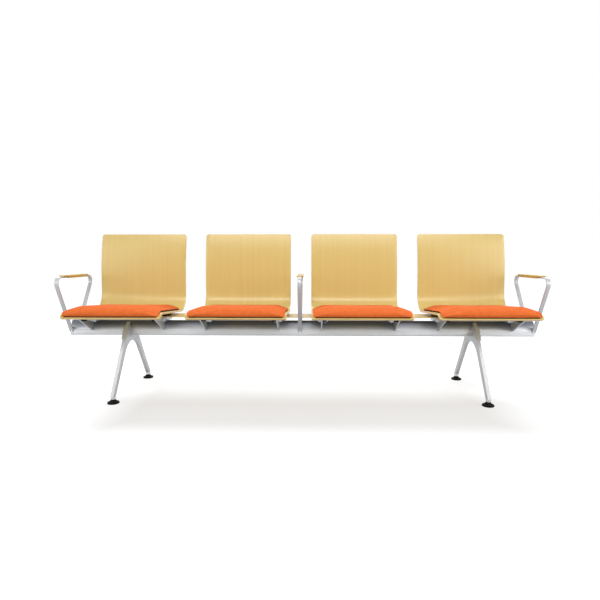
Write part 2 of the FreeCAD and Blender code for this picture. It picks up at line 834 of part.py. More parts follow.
front_buffers = []
shell_screws = []
for number, center in enumerate(seat_centers, start=1):
    tag = "_" + str(number)
    write_step(seat_shell(center), "seat_shell" + tag)
    write_step(pad_layer(0.0, pad_base_thickness, pad_base_inset, center), "cushion_base" + tag)
    write_step(pad_layer(cushion_low, cushion_low + pad_thickness, 0.0, center), "seat_cushion" + tag)
    mounts = []
    for side_name, side in (("left", -1.0), ("right", 1.0)):
        write_step(seat_bracket(side, center), "seat_bracket" + tag + "_" + side_name)
        mounts.append(shell_mount(number, side, center))
        front_buffers.append(front_buffer(side, center))
        for y in (shell_screw_front_y, shell_screw_back_y):
            shell_screws.append(shell_screw(center + side * screw_line_offset, y))
    write_group(mounts, "shell_mounts" + tag)
write_group(front_buffers, "front_buffers")
write_group(shell_screws, "shell_screws")

for number in range(1, seat_count):
    middle = (seat_centers[number - 1] + seat_centers[number]) / 2.0
    write_step(infill_board(middle), "infill_board_" + str(number))

cap_screws = []
foot_screws = []
for name, x in arm_centers.items():
    write_step(armrest_frame(x), "armrest_frame_" + name)
    write_step(armrest_cap(x), "armrest_cap_" + name)
    cap_screws += [cap_screw(x, y) for y in (cap_screw_front_y, cap_screw_back_y)]
    foot_screws += [foot_screw(x, sign) for sign in (-1.0, 1.0)]
write_group(cap_screws, "armrest_cap_screws")
write_group(foot_screws, "armrest_foot_screws")

for name, x in leg_centers.items():
    write_step(leg(x), "leg_" + name)
    for end_name, y in (("front", -foot_y), ("rear", foot_y)):
        tag = "_" + end_name + "_" + name
        write_step(spindle(x, y), "foot_spindle" + tag)
        write_step(foot_ball(x, y), "foot_ball" + tag)
        write_step(foot_disc(x, y), "foot_disc" + tag)
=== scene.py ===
import bpy
import bmesh
import json
import math
from mathutils import Matrix, Vector, noise


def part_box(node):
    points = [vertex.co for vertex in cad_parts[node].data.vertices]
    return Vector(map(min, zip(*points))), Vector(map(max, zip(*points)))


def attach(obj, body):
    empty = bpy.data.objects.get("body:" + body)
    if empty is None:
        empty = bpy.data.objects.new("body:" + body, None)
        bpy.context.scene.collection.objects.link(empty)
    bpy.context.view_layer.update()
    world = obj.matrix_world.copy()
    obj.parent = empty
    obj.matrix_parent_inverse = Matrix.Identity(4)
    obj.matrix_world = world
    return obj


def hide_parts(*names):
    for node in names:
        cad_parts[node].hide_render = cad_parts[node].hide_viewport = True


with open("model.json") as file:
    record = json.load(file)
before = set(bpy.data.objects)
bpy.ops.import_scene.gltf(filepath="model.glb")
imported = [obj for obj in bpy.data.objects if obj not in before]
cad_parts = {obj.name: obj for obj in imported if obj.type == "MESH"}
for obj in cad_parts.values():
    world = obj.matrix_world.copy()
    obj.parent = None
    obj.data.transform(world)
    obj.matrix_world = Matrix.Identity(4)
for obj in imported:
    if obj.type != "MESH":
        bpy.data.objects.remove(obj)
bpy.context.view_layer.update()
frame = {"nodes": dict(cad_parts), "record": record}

print("frame loaded:", len(frame["nodes"]), "nodes")

# Where things stand, in metres
layout = {
    "seatCentres": [-0.9, -0.3, 0.3, 0.9],
    "modelSeat": 1,            # which of these seats gives the CAD pad that all four pads are made from
    "armNames": ["left", "center", "right"],
    "sides": ["left", "right"],
    "bench": "bench",          # the body that everything but the levelling feet rides on
}


# Selecting and finishing

def deselectAll():
    active = bpy.context.view_layer.objects.active
    if active and active.mode != "OBJECT":
        bpy.ops.object.mode_set(mode="OBJECT")
    bpy.ops.object.select_all(action="DESELECT")


def activate(piece):
    deselectAll()
    piece.select_set(True)
    bpy.context.view_layer.objects.active = piece


def edit(piece):
    activate(piece)
    bpy.ops.object.mode_set(mode="EDIT")
    bpy.ops.mesh.select_mode(type="VERT")
    bpy.ops.mesh.select_all(action="DESELECT")


def leaveEdit():
    bpy.ops.object.mode_set(mode="OBJECT")


def pickVerts(piece, test):
    mesh = bmesh.from_edit_mesh(piece.data)
    bpy.ops.mesh.select_mode(type="VERT")
    bpy.ops.mesh.select_all(action="DESELECT")
    for vert in mesh.verts:
        vert.select_set(test(vert.co))
    mesh.select_flush_mode()
    bmesh.update_edit_mesh(piece.data)


def applyPlace(piece):
    activate(piece)
    bpy.ops.object.transform_apply(location=True, rotation=True, scale=True)


def addModifier(piece, kind, **settings):
    activate(piece)
    modifier = piece.modifiers.new(kind.lower(), kind)
    for key, value in settings.items():
        setattr(modifier, key, value)
    bpy.ops.object.modifier_apply(modifier=modifier.name)


def smoothByAngle(piece, degrees):
    activate(piece)
    bpy.ops.object.shade_smooth_by_angle(angle=math.radians(degrees))


def dress(piece, body, slot, material, *replaced):
    piece.data.materials.clear()
    piece.data.materials.append(material)
    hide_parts(*replaced)
    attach(piece, body)
    return piece


def copyAlong(piece, name, offset):
    twin = piece.copy()
    twin.data = piece.data.copy()
    twin.name = name
    bpy.context.scene.collection.objects.link(twin)
    twin.data.transform(Matrix.Translation(offset))
    return twin


# Node helpers for the materials

def newMaterial(name, roughness=0.5, metallic=0.0):
    material = bpy.data.materials.new(name)
    material.use_nodes = True
    tree = material.node_tree
    shader = tree.nodes["Principled BSDF"]
    shader.inputs["Roughness"].default_value = roughness
    shader.inputs["Metallic"].default_value = metallic
    return material, tree, shader


def addNode(tree, kind, inputs=None, **settings):
    node = tree.nodes.new(kind)
    for key, value in settings.items():
        setattr(node, key, value)
    for key, value in (inputs or {}).items():
        if hasattr(value, "is_output"):
            tree.links.new(value, node.inputs[key])
        else:
            node.inputs[key].default_value = value
    return node


def objectPlace(tree, scale):
    place = addNode(tree, "ShaderNodeTexCoord").outputs["Object"]
    return addNode(tree, "ShaderNodeMapping", {"Vector": place, "Scale": scale}).outputs["Vector"]


def objectAxes(tree):
    # The place on the object as three outputs: X, Y and Z
    return addNode(tree, "ShaderNodeSeparateXYZ", {"Vector": objectPlace(tree, (1, 1, 1))})


def noiseAt(tree, scale, detail=4.0, rough=0.55, size=1.0):
    place = objectPlace(tree, scale)
    texture = addNode(tree, "ShaderNodeTexNoise",
                      {"Vector": place, "Scale": size, "Detail": detail, "Roughness": rough})
    return texture.outputs["Fac"]


def ramp(tree, factor, *stops):
    node = addNode(tree, "ShaderNodeValToRGB", {"Fac": factor})
    elements = node.color_ramp.elements
    while len(elements) < len(stops):
        elements.new(0.5)
    for element, (position, color) in zip(elements, stops):
        element.position = position
        element.color = (*color, 1.0) if len(color) == 3 else color
    return node.outputs["Color"]


def mixColors(tree, factor, first, second, blend="MIX"):
    node = addNode(tree, "ShaderNodeMix", data_type="RGBA", blend_type=blend)
    for socket, value in ((node.inputs[0], factor), (node.inputs[6], first), (node.inputs[7], second)):
        if hasattr(value, "is_output"):
            tree.links.new(value, socket)
        else:
            socket.default_value = value if isinstance(value, float) else (*value, 1.0)
    return node.outputs[2]


def math2(tree, operation, first, second=0.0):
    node = addNode(tree, "ShaderNodeMath", operation=operation)
    for socket, value in zip(node.inputs, (first, second)):
        if hasattr(value, "is_output"):
            tree.links.new(value, socket)
        else:
            socket.default_value = value
    return node.outputs[0]


def addBump(tree, shader, height, strength, distance):
    bump = addNode(tree, "ShaderNodeBump", {"Height": height, "Strength": strength, "Distance": distance})
    tree.links.new(bump.outputs["Normal"], shader.inputs["Normal"])


def addCoat(shader, wood):
    shader.inputs["Coat Weight"].default_value = wood["coat"]
    shader.inputs["Coat Roughness"].default_value = wood["coatRoughness"]


def grey(value):
    return (value, value, value)


# Finishes

veneer = {
    "pale": (0.71, 0.535, 0.172),
    "middle": (0.69, 0.514, 0.158),
    "deep": (0.67, 0.492, 0.145),
    "fleck": (0.53, 0.33, 0.065),
    "plyLight": (1.0, 0.68, 0.27),
    "plyMiddle": (0.74, 0.45, 0.17),
    "plyDark": (0.45, 0.26, 0.09),
    "streaks": (70, 1.1),          # how fine the figure is, across the grain and along it
    "lines": (420, 3.0),
    "flecks": (900, 55),
    "fleckShare": 0.28,
    "plies": 9,
    "thickness": 0.011,
    "boardPlies": 3.5,
    "boardBottom": 0.395,
    "boardThickness": 0.005,
    "boardGrain": 30.0,            # the boards' grain runs along X, finer by this much across it
    "roughness": 0.30,
    "coat": 0.18,
    "coatRoughness": 0.18,
}


def veneerColor(tree, across, alongY, alongZ):
    # Long streaks, finer pores and short flecks that all run with the grain
    def grain(size, detail, rough):
        return noiseAt(tree, (across * size[0], alongY * size[1], alongZ * size[1]), detail, rough)

    streaks = grain(veneer["streaks"], 5.0, 0.55)
    lines = grain(veneer["lines"], 3.0, 0.6)
    blend = math2(tree, "ADD", math2(tree, "MULTIPLY", streaks, 0.5), math2(tree, "MULTIPLY", lines, 0.5))
    face = ramp(tree, blend, (0.34, veneer["deep"]), (0.50, veneer["middle"]), (0.66, veneer["pale"]))
    flecks = grain(veneer["flecks"], 1.0, 0.5)
    fleckMask = ramp(tree, flecks, (0.66, grey(0.0)), (0.76, grey(veneer["fleckShare"])))
    return mixColors(tree, fleckMask, face, veneer["fleck"]), lines


def makePlywood():
    material, tree, shader = newMaterial("plywoodVeneer", veneer["roughness"])
    face, lines = veneerColor(tree, 1.0, 1.0, 1.0)
    # The distance below the upper veneer, kept on each point of the shell, draws the plies of the edge
    depth = addNode(tree, "ShaderNodeAttribute", attribute_name="plyDepth").outputs["Fac"]
    share = math2(tree, "DIVIDE", depth, veneer["thickness"])
    wobble = math2(tree, "MULTIPLY", noiseAt(tree, (9, 9, 9), 2.0), 0.04)
    place = math2(tree, "MULTIPLY", math2(tree, "ADD", share, wobble), veneer["plies"] * 0.5)
    layer = math2(tree, "FRACT", place)
    fiber = noiseAt(tree, (700, 700, 700), 2.0)
    edge = ramp(tree, layer, (0.0, veneer["plyDark"]), (0.06, veneer["plyLight"]), (0.48, veneer["plyLight"]),
                (0.54, veneer["plyDark"]), (0.60, veneer["plyMiddle"]), (0.96, veneer["plyMiddle"]))
    edge = mixColors(tree, math2(tree, "MULTIPLY", fiber, 0.35), edge, veneer["plyMiddle"])
    onRim = math2(tree, "MULTIPLY", math2(tree, "GREATER_THAN", share, 0.07),
                  math2(tree, "LESS_THAN", share, 0.93))
    tree.links.new(mixColors(tree, onRim, face, edge), shader.inputs["Base Color"])
    addCoat(shader, veneer)
    addBump(tree, shader, lines, 0.06, 0.0004)
    return material


def makeBoardWood():
    material, tree, shader = newMaterial("boardVeneer", veneer["roughness"])
    face, lines = veneerColor(tree, 0.03, veneer["boardGrain"], veneer["boardGrain"])
    height = objectAxes(tree).outputs["Z"]
    place = math2(tree, "MULTIPLY", math2(tree, "SUBTRACT", height, veneer["boardBottom"]),
                  veneer["boardPlies"] / veneer["boardThickness"])
    edge = ramp(tree, math2(tree, "FRACT", place), (0.0, veneer["plyDark"]), (0.08, veneer["plyLight"]),
                (0.50, veneer["plyLight"]), (0.58, veneer["plyMiddle"]), (0.95, veneer["plyMiddle"]))
    upright = addNode(tree, "ShaderNodeSeparateXYZ",
                      {"Vector": addNode(tree, "ShaderNodeNewGeometry").outputs["Normal"]}).outputs["Z"]
    onRim = math2(tree, "LESS_THAN", math2(tree, "ABSOLUTE", upright), 0.5)
    tree.links.new(mixColors(tree, onRim, face, edge), shader.inputs["Base Color"])
    addCoat(shader, veneer)
    addBump(tree, shader, lines, 0.06, 0.0004)
    return material


beech = {
    "deep": (0.46, 0.30, 0.060),
    "middle": (0.57, 0.39, 0.088),
    "pale": (0.64, 0.46, 0.12),
    "pore": (0.38, 0.20, 0.04),
    "streaks": (170, 3.0, 110),    # the grain runs along Y
    "pores": (1300, 60, 1300),
    "roughness": 0.42,
    "coat": 0.2,
    "coatRoughness": 0.3,
}


def makeBeech():
    material, tree, shader = newMaterial("armrestBeech", beech["roughness"])
    streaks = noiseAt(tree, beech["streaks"], 5.0, 0.6)
    face = ramp(tree, streaks, (0.32, beech["deep"]), (0.52, beech["middle"]), (0.70, beech["pale"]))
    pores = noiseAt(tree, beech["pores"], 1.0)
    mask = ramp(tree, pores, (0.64, grey(0.0)), (0.72, grey(0.5)))
    tree.links.new(mixColors(tree, mask, face, beech["pore"]), shader.inputs["Base Color"])
    addCoat(shader, beech)
    addBump(tree, shader, pores, 0.12, 0.0002)
    return material


paints = {
    "beam": {"name": "beamPaintWithShade", "tone": 0.77, "roughness": 0.38, "metallic": 0.30},
    "leg": {"name": "legPaint", "tone": 0.66, "roughness": 0.45, "metallic": 0.15},
    "bracket": {"name": "bracketPaint", "tone": 0.56, "roughness": 0.32, "metallic": 0.35},
    "arm": {"name": "armrestPaint", "tone": 0.52, "roughness": 0.36, "metallic": 0.30},
}

# Painted shade: the beam's colour darkens from its foot, low, to its top, high, standing in for the shadow
# that the seats cast on its slope
beamPaintedShade = {
    "low": 0.329,
    "high": 0.374,
    "stops": [(0.0, (1.0, 1.0, 1.0)), (0.3, (0.55, 0.56, 0.59)),
              (0.6, (0.23, 0.245, 0.285)), (1.0, (0.14, 0.15, 0.185))],
}


def makePaint(name, tone, roughness, metallic, paintedShade=None):
    # Silver powder coat: a faint orange-peel surface and metal flakes. When given, a painted shade multiplies
    # the colour darker with height
    material, tree, shader = newMaterial(name, roughness, metallic)
    drift = noiseAt(tree, (3, 3, 3), 3.0)
    flakes = noiseAt(tree, (1800, 1800, 1800), 1.0)
    both = math2(tree, "ADD", math2(tree, "MULTIPLY", drift, 0.5), math2(tree, "MULTIPLY", flakes, 0.5))
    low, high = [(tone * share * 0.985, tone * share, tone * share * 1.03) for share in (0.93, 1.07)]
    color = ramp(tree, both, (0.35, low), (0.65, high))
    # Painted shade: the coat's colour is multiplied darker towards the top of the beam's slope
    if paintedShade:
        height = objectAxes(tree).outputs["Z"]
        rise = addNode(tree, "ShaderNodeMapRange",
                       {"Value": height, "From Min": paintedShade["low"], "From Max": paintedShade["high"]})
        kept = ramp(tree, rise.outputs["Result"], *paintedShade["stops"])
        color = mixColors(tree, 1.0, color, kept, "MULTIPLY")
    tree.links.new(color, shader.inputs["Base Color"])
    peel = noiseAt(tree, (620, 620, 620), 2.0)
    rough = addNode(tree, "ShaderNodeMapRange", {"Value": drift, "To Min": roughness - 0.05,
                                                 "To Max": roughness + 0.05}).outputs["Result"]
    tree.links.new(rough, shader.inputs["Roughness"])
    addBump(tree, shader, peel, 0.05, 0.0003)
    return material


steel = {"dull": (0.52, 0.53, 0.55), "bright": (0.72, 0.72, 0.73), "smoothest": 0.26, "roughest": 0.42}


def makeSteel():
    material, tree, shader = newMaterial("zincSteel", metallic=1.0)
    drift = noiseAt(tree, (90, 90, 90), 4.0)
    tree.links.new(ramp(tree, drift, (0.3, steel["dull"]), (0.7, steel["bright"])),
                   shader.inputs["Base Color"])
    rough = addNode(tree, "ShaderNodeMapRange",
                    {"Value": drift, "To Min": steel["smoothest"], "To Max": steel["roughest"]})
    tree.links.new(rough.outputs["Result"], shader.inputs["Roughness"])
    addBump(tree, shader, noiseAt(tree, (1500, 1500, 60), 1.0), 0.05, 0.0001)
    return material


# Dark moulded plastic and rubber: name, darker and lighter tone, roughness and shine
moulded = {
    "rubber": ("blackRubber", (0.006, 0.006, 0.006), (0.012, 0.012, 0.012), 0.7, 0.2),
    "glide": ("blackGlide", (0.005, 0.005, 0.005), (0.010, 0.010, 0.010), 0.55, 0.08),
    "ball": ("blackBall", (0.020, 0.020, 0.020), (0.032, 0.032, 0.032), 0.35, 0.5),
    # The pad base is a real dark board. Its dark red-brown is also painted shadow, standing in for the shadow
    # line under each pad's front edge
    "padBase": ("padBaseWithPaintedShadow", (0.020, 0.008, 0.005), (0.040, 0.014, 0.008), 0.8, 0.5),
}


def makeMoulded(name, low, high, roughness, shine):
    material, tree, shader = newMaterial(name, roughness)
    drift = noiseAt(tree, (25, 25, 25), 3.0)
    tree.links.new(ramp(tree, drift, (0.3, low), (0.7, high)), shader.inputs["Base Color"])
    shader.inputs["Specular IOR Level"].default_value = shine
    addBump(tree, shader, noiseAt(tree, (900, 900, 900), 2.0), 0.25, 0.0002)    # a spark-eroded grain
    return material


fabric = {
    "thread": 0.0011,           # spacing of the weave
    "light": (0.85, 0.195, 0.043),
    "dark": (0.68, 0.113, 0.021),
    "bump": 0.45,
    "sheen": 0.04,
    "sheenTint": (1.0, 0.62, 0.42, 1.0),
}


def makeWool():
    material, tree, shader = newMaterial("orangeWool", 0.9)
    turns = math.pi / fabric["thread"]
    place = objectAxes(tree)
    waves = []
    for axis in ("X", "Y"):
        loose = math2(tree, "MULTIPLY", noiseAt(tree, (300, 300, 300), 2.0), 0.9)
        phase = math2(tree, "ADD", math2(tree, "MULTIPLY", place.outputs[axis], turns), loose)
        waves.append(math2(tree, "SINE", phase))
    weave = math2(tree, "MULTIPLY", waves[0], waves[1])
    height = math2(tree, "MULTIPLY", math2(tree, "ADD", weave, 1.0), 0.5)
    fuzz = noiseAt(tree, (2200, 2200, 2200), 2.0)
    mottled = noiseAt(tree, (55, 55, 55), 4.0)
    soft = math2(tree, "ADD", math2(tree, "MULTIPLY", fuzz, 0.30), math2(tree, "MULTIPLY", mottled, 0.35))
    tone = math2(tree, "ADD", math2(tree, "MULTIPLY", height, 0.35), soft)
    tree.links.new(ramp(tree, tone, (0.30, fabric["dark"]), (0.66, fabric["light"])),
                   shader.inputs["Base Color"])
    shader.inputs["Sheen Weight"].default_value = fabric["sheen"]
    shader.inputs["Sheen Roughness"].default_value = 0.4
    shader.inputs["Sheen Tint"].default_value = fabric["sheenTint"]
    shader.inputs["Specular IOR Level"].default_value = 0.15
    raised = math2(tree, "ADD", height, math2(tree, "MULTIPLY", fuzz, 0.6))
    addBump(tree, shader, raised, fabric["bump"], 0.0006)
    return material


finishes = {
    "plywood": makePlywood(),
    "board": makeBoardWood(),
    "beech": makeBeech(),
    "beam": makePaint(**paints["beam"], paintedShade=beamPaintedShade),
    "leg": makePaint(**paints["leg"]),
    "bracket": makePaint(**paints["bracket"]),
    "arm": makePaint(**paints["arm"]),
    "steel": makeSteel(),
    "wool": makeWool(),
}
for name, values in moulded.items():
    finishes[name] = makeMoulded(*values)
print("finishes made:", len(finishes))


# Plywood shell

shellSizes = {
    "width": 0.484,
    "thickness": 0.011,
    "front": (-0.2, 0.4398),       # y and z where the flat of the seat starts
    "flatLength": 0.313,
    "tilt": 4.3,
    "frontRadius": 0.060,
    "frontDrop": 58.5,
    "rearRadius": 0.090,
    "lumbarLean": 2.1,
    "lumbarLength": 0.094,
    "flareRadius": 0.940,
    "topZ": 0.836,
    "topCorner": 0.015,
    "frontCorner": 0.010,
    "reach": 0.0005,               # how near to a bend's start a point counts as on it
    "columns": 20,
    "rows": 12,
    "frontSteps": 8,
    "rearSteps": 14,
    "lumbarSteps": 3,
    "flareSteps": 16,
    "edgeRound": 0.0014,
    "roundingSteps": (1.0, 0.78, 0.58, 0.40, 0.25, 0.13, 0.04, 0.0),
}


def polar(centre, degrees, radius):
    angle = math.radians(degrees)
    return Vector((0, centre.y + radius * math.cos(angle), centre.z + radius * math.sin(angle)))


seatAngle = 90.0 - shellSizes["tilt"]
flatStart = Vector((0, *shellSizes["front"]))
flatEnd = polar(flatStart, -shellSizes["tilt"], shellSizes["flatLength"])
frontCentre = polar(flatStart, seatAngle, -shellSizes["frontRadius"])
rearCentre = polar(flatEnd, seatAngle, shellSizes["rearRadius"])
lumbarStart = polar(rearCentre, -shellSizes["lumbarLean"], shellSizes["rearRadius"])
lumbarEnd = polar(lumbarStart, 90.0 - shellSizes["lumbarLean"], shellSizes["lumbarLength"])
flareCentre = polar(lumbarEnd, -shellSizes["lumbarLean"], shellSizes["flareRadius"])
flareRise = (shellSizes["topZ"] - lumbarEnd.z) / shellSizes["flareRadius"]
flareLean = math.degrees(math.asin(flareRise + math.sin(math.radians(shellSizes["lumbarLean"]))))


def depthBelow(y, z):
    # How far a point lies below the front and upper surface of the shell
    point = Vector((0, y, z))
    flatDirection = (flatEnd - flatStart).normalized()
    upward = Vector((0, -flatDirection.z, flatDirection.y))
    if (point - flatStart).dot(flatDirection) < 0:
        return shellSizes["frontRadius"] - (point - frontCentre).length
    if (point - flatEnd).dot(flatDirection) < 0 and z < rearCentre.z:
        return -(point - flatStart).dot(upward)
    if (point - lumbarStart).dot((lumbarEnd - lumbarStart).normalized()) < 0:
        return (point - rearCentre).length - shellSizes["rearRadius"]
    lumbarDirection = (lumbarEnd - lumbarStart).normalized()
    if (point - lumbarEnd).dot(lumbarDirection) < 0:
        return (point - lumbarStart).dot(Vector((0, lumbarDirection.z, -lumbarDirection.y)))
    return shellSizes["flareRadius"] - (point - flareCentre).length


def roundedWidth(distance, corner):
    # Share of the full width that a row keeps at a distance from a rounded end
    half = shellSizes["width"] / 2
    missing = corner - math.sqrt(max(corner ** 2 - (corner - distance) ** 2, 0.0))
    return (half - missing) / half


def sweep(centre, degrees, steps):
    # The spin turns the other way about X than the right hand does
    bpy.ops.mesh.spin(steps=steps, dupli=False, angle=-math.radians(degrees), center=centre, axis=(1, 0, 0))


def sweepRounded(centre, radius, degrees, steps, corner):
    # A spin whose last stretch narrows row by row, which rounds the two corners
    cornerDegrees = math.degrees(corner / radius)
    sign = 1.0 if degrees > 0 else -1.0
    sweep(centre, degrees - sign * cornerDegrees, steps)
    kept = 1.0
    stops = shellSizes["roundingSteps"]
    for before, after in zip(stops, stops[1:]):
        sweep(centre, sign * cornerDegrees * (before - after), 1)
        share = roundedWidth(after * corner, corner)
        bpy.ops.transform.resize(value=(share / kept, 1, 1))
        kept = share


def makeShell(name):
    p = shellSizes
    centre = (flatStart + flatEnd) / 2
    bpy.ops.mesh.primitive_grid_add(x_subdivisions=p["columns"], y_subdivisions=p["rows"], size=1,
                                    location=centre, rotation=(-math.radians(p["tilt"]), 0, 0))
    shell = bpy.context.object
    shell.name = name
    shell.scale = (p["width"], p["flatLength"], 1)
    applyPlace(shell)
    edit(shell)
    reach = p["reach"]
    pickVerts(shell, lambda co: co.y < flatStart.y + reach)
    sweepRounded(frontCentre, p["frontRadius"], p["frontDrop"], p["frontSteps"], p["frontCorner"])
    pickVerts(shell, lambda co: co.y > flatEnd.y - reach and abs(co.z - flatEnd.z) < reach)
    sweep(rearCentre, 90.0 + p["tilt"] - p["lumbarLean"], p["rearSteps"])
    for step in range(p["lumbarSteps"]):
        move = (lumbarEnd - lumbarStart) / p["lumbarSteps"]
        bpy.ops.mesh.extrude_region_move(TRANSFORM_OT_translate={"value": move})
    flare = p["lumbarLean"] - flareLean
    sweepRounded(flareCentre, p["flareRadius"], flare, p["flareSteps"], p["topCorner"])
    bpy.ops.mesh.select_all(action="SELECT")
    bpy.ops.mesh.remove_doubles(threshold=0.00002)
    bpy.ops.mesh.normals_make_consistent(inside=False)
    leaveEdit()
    seatFace = min(shell.data.polygons, key=lambda face: (face.center - centre).length)
    if seatFace.normal.z < 0:
        edit(shell)
        bpy.ops.mesh.select_all(action="SELECT")
        bpy.ops.mesh.flip_normals()
        leaveEdit()
    addModifier(shell, "SOLIDIFY", thickness=p["thickness"], offset=-1.0, use_even_offset=True)
    addModifier(shell, "BEVEL", width=p["edgeRound"], segments=2, limit_method="ANGLE",
                angle_limit=math.radians(50))
    depth = shell.data.attributes.new("plyDepth", "FLOAT", "POINT")
    for vert in shell.data.vertices:
        depth.data[vert.index].value = min(max(depthBelow(vert.co.y, vert.co.z), 0.0), p["thickness"])
    smoothByAngle(shell, 35)
    return shell


firstShell = makeShell("plywoodShell1")
for number, x in enumerate(layout["seatCentres"], start=1):
    shell = copyAlong(firstShell, "plywoodShell_" + str(number), Vector((x, 0, 0)))
    dress(shell, layout["bench"], "plywood", finishes["plywood"], "seat_shell_" + str(number))
bpy.data.objects.remove(firstShell)
print("shells made")


# Upholstered pad

padSizes = {
    "voxel": 0.005,
    "pressure": 4.0,
    "frames": 20,
    "cap": 0.005,
    "frontWrap": 53.0,         # degrees that the pad follows the shell's front bend
    "lowered": 0.35,           # share of the height kept at the rim
    "endTaper": 0.064,         # how far in from its two ends the pad reaches its height
    "edgeTaper": 0.045,        # the same from its front and rear edge
    "baseHeight": 0.0043,      # top of the pad's base board above the shell
    "pinnedHeight": 0.003,     # how far above that the cover is held
    "wrinkle": 0.0006,
    "wrinkleAbove": 0.012,
    "seamLift": 0.0055,        # how far the lower edge of the cover stands off its base board
}


def edgeDistance(co, backY):
    # How far a point of the pad lies from its front or rear edge, along the surface
    out = Vector((0, co.y, co.z)) - frontCentre
    wrap = math.radians(padSizes["frontWrap"])
    if co.y < flatStart.y:
        front = out.length * (wrap - math.radians(90 - shellSizes["tilt"]) + math.atan2(out.z, -out.y))
    else:
        front = out.length * wrap + co.y - flatStart.y
    return max(min(backY - co.y, front), 0.0)


def heightNormal(y, z):
    # The direction away from the shell's upper surface
    step = 0.0005
    rise = Vector((0, depthBelow(y + step, z) - depthBelow(y - step, z),
                   depthBelow(y, z + step) - depthBelow(y, z - step)))
    return -rise.normalized()


def makeCushion(nodeName, name, seatX):
    # The CAD pad, remeshed, tapered to its rim and blown up a little as cloth over its filling
    p = padSizes
    source = frame["nodes"][nodeName]
    cushion = bpy.data.objects.new(name, source.data.copy())
    bpy.context.scene.collection.objects.link(cushion)
    cushion.data.materials.clear()
    edit(cushion)
    bpy.ops.mesh.select_all(action="SELECT")
    bpy.ops.mesh.remove_doubles(threshold=0.00002)
    leaveEdit()
    addModifier(cushion, "REMESH", mode="VOXEL", voxel_size=p["voxel"])
    low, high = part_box(nodeName)
    halfX = (high.x - low.x) / 2
    pinned = cushion.vertex_groups.new(name="pinned")
    for vert in cushion.data.vertices:
        height = -depthBelow(vert.co.y, vert.co.z)
        fromEnd = max(halfX - abs(vert.co.x - seatX), 0.0)
        fromEdge = edgeDistance(vert.co, high.y)
        endShare = min(fromEnd / p["endTaper"], 1.0)
        edgeShare = min(fromEdge / p["edgeTaper"], 1.0)
        keep = (1 - (1 - p["lowered"]) * (1 - endShare) ** 2)
        keep *= 1 - (1 - p["lowered"]) * (1 - math.sqrt(1 - (1 - edgeShare) ** 2))
        if height < p["baseHeight"] + p["pinnedHeight"]:
            pinned.add([vert.index], 1.0, "REPLACE")
            if min(fromEnd, fromEdge) < 1.5 * p["voxel"]:
                vert.co += heightNormal(vert.co.y, vert.co.z) * p["seamLift"]
        else:
            vert.co += heightNormal(vert.co.y, vert.co.z) * (height - p["baseHeight"]) * (keep - 1)
    start = [vert.co.copy() for vert in cushion.data.vertices]
    cloth = cushion.modifiers.new("cloth", "CLOTH")
    cloth.settings.use_pressure = True
    cloth.settings.uniform_pressure_force = p["pressure"]
    cloth.settings.vertex_group_mass = "pinned"
    cloth.settings.effector_weights.gravity = 0.0
    cloth.point_cache.frame_start = 1
    cloth.point_cache.frame_end = p["frames"]
    for step in range(1, p["frames"] + 1):
        bpy.context.scene.frame_set(step)
    activate(cushion)
    bpy.ops.object.modifier_apply(modifier=cloth.name)
    bpy.context.scene.frame_set(1)
    for vert, before in zip(cushion.data.vertices, start):
        move = vert.co - before
        if move.length > p["cap"]:
            vert.co = before + move.normalized() * p["cap"]
    addModifier(cushion, "SMOOTH", factor=0.5, iterations=4)
    addModifier(cushion, "SUBSURF", levels=1, render_levels=1)
    return cushion


firstCushion = makeCushion("seat_cushion_2", "firstCushion", layout["seatCentres"][layout["modelSeat"]])
for number, x in enumerate(layout["seatCentres"], start=1):
    cushion = copyAlong(firstCushion, "cushion_" + str(number),
                        Vector((x - layout["seatCentres"][layout["modelSeat"]], 0, 0)))
    for vert in cushion.data.vertices:
        height = -depthBelow(vert.co.y, vert.co.z)
        if height > padSizes["wrinkleAbove"]:
            ripple = noise.noise(Vector((vert.co.x * 9, vert.co.y * 9, number * 7.0)))
            vert.co.z += ripple * padSizes["wrinkle"]
    smoothByAngle(cushion, 60)
    dress(cushion, layout["bench"], "upholstery", finishes["wool"], "seat_cushion_" + str(number))
bpy.data.objects.remove(firstCushion)
print("cushions made")


# Metal and wooden pieces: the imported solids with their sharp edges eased

def easedCopy(nodeName, body, slot, material, width, segments=2, angle=32):
    source = frame["nodes"][nodeName]
    piece = bpy.data.objects.new(nodeName + "_eased", source.data.copy())
    bpy.context.scene.collection.objects.link(piece)
    edit(piece)
    bpy.ops.mesh.select_all(action="SELECT")
    bpy.ops.mesh.remove_doubles(threshold=0.00001)
    bpy.ops.mesh.dissolve_limited(angle_limit=math.radians(0.5))
    leaveEdit()
    if piece.data.has_custom_normals:
        activate(piece)
        bpy.ops.mesh.customdata_custom_splitnormals_clear()
    addModifier(piece, "BEVEL", width=width, segments=segments, limit_method="ANGLE",
                angle_limit=math.radians(angle), use_clamp_overlap=True)
    smoothByAngle(piece, 35)
    return dress(piece, body, slot, material, nodeName)


easing = {"beam": 0.0008, "cap": 0.0010, "leg": 0.0012, "bracket": 0.0008, "arm": 0.0012, "wood": 0.0010}

bench = layout["bench"]
easedCopy("beam", bench, "beam_metal", finishes["beam"], easing["beam"])
for side in layout["sides"]:
    easedCopy("beam_end_cap_" + side, bench, "beam_metal", finishes["beam"], easing["cap"])
    easedCopy("leg_" + side, bench, "leg_metal", finishes["leg"], easing["leg"])
    for number in range(1, 5):
        easedCopy("seat_bracket_" + str(number) + "_" + side, bench, "bracket_metal",
                  finishes["bracket"], easing["bracket"])
for name in layout["armNames"]:
    easedCopy("armrest_frame_" + name, bench, "armrest_metal", finishes["arm"], easing["arm"])
    easedCopy("armrest_cap_" + name, bench, "armrest_wood", finishes["beech"], easing["wood"])
for number in range(1, 4):
    easedCopy("infill_board_" + str(number), bench, "plywood", finishes["board"], easing["wood"])
print("frame pieces eased")

